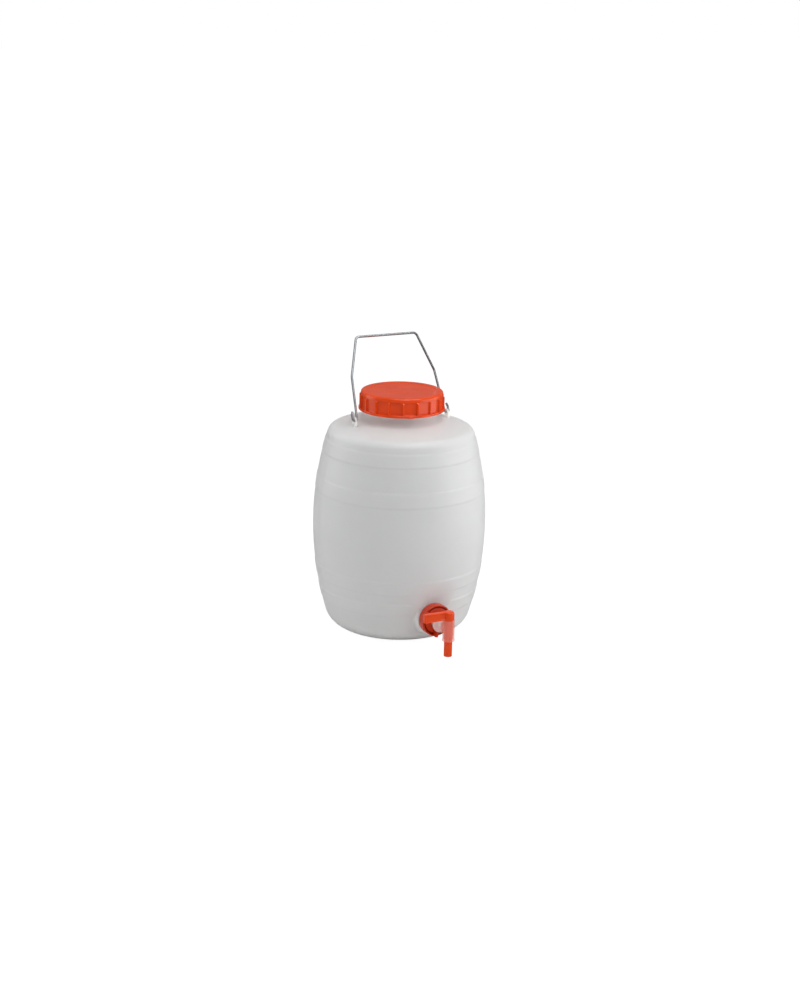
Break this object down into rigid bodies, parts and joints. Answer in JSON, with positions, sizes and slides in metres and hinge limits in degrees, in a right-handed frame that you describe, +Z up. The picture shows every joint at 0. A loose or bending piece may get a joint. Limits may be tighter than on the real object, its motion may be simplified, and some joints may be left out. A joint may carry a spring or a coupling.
{
  "type": "carboy with spigot",
  "caption": "Barrel-shaped plastic carboy with a ribbed screw lid, a wire bail handle and a plug tap near its base.",
  "frame": {"origin": "on the barrel's axis, in the plane that its base stands on", "axes": "+Z up along the barrel's axis, -Y towards the tap, +X through one handle lug"},
  "size_m": [0.235, 0.2768, 0.3952],
  "materials": {
    "natural_polyethylene": "satin, milky",
    "orange_polyethylene": "semi-gloss",
    "clear_polyethylene": "translucent",
    "seal": "matt",
    "galvanised_wire": "bright zinc"
  },
  "bodies": {
    "barrel": {"barrel": "natural_polyethylene"},
    "lid_seal": {"lid_gasket": "seal"},
    "lid": {"lid": "orange_polyethylene"},
    "handle": {"handle": "galvanised_wire"},
    "tap": {"tap_body": "clear_polyethylene", "tap_gasket": "seal"},
    "tap_nut": {"tap_nut": "orange_polyethylene"},
    "tap_plug": {"tap_plug": "orange_polyethylene"}
  },
  "joints": [
    {"name": "lid_lift", "type": "slide", "parent": "barrel", "child": "lid_seal", "axis": [0, 0, 1], "range_m": [0, 0.024]},
    {"name": "lid_turn", "type": "hinge", "parent": "lid_seal", "child": "lid", "pos_m": [0, 0, 0.31], "axis": [0, 0, 1], "range_deg": [0, 1440]},
    {"name": "handle_swing", "type": "hinge", "parent": "barrel", "child": "handle", "pos_m": [0, 0, 0.292], "axis": [1, 0, 0], "range_deg": [-64, 118]},
    {"name": "tap_out", "type": "slide", "parent": "barrel", "child": "tap", "axis": [0, -1, 0], "range_m": [0, 0.006]},
    {"name": "nut_turn", "type": "hinge", "parent": "tap", "child": "tap_nut", "pos_m": [0, -0.112, 0.0395], "axis": [0, -1, 0], "range_deg": [0, 720]},
    {"name": "plug_turn", "type": "hinge", "parent": "tap", "child": "tap_plug", "pos_m": [0, -0.151, 0.037], "axis": [0, 0, 1], "range_deg": [0, 180]}
  ],
  "couplings": [
    {"joint": "lid_lift", "follows": "lid_turn", "m_per_rad": 0.00095493},
    {"joint": "tap_out", "follows": "nut_turn", "m_per_rad": 0.00047746}
  ]
}
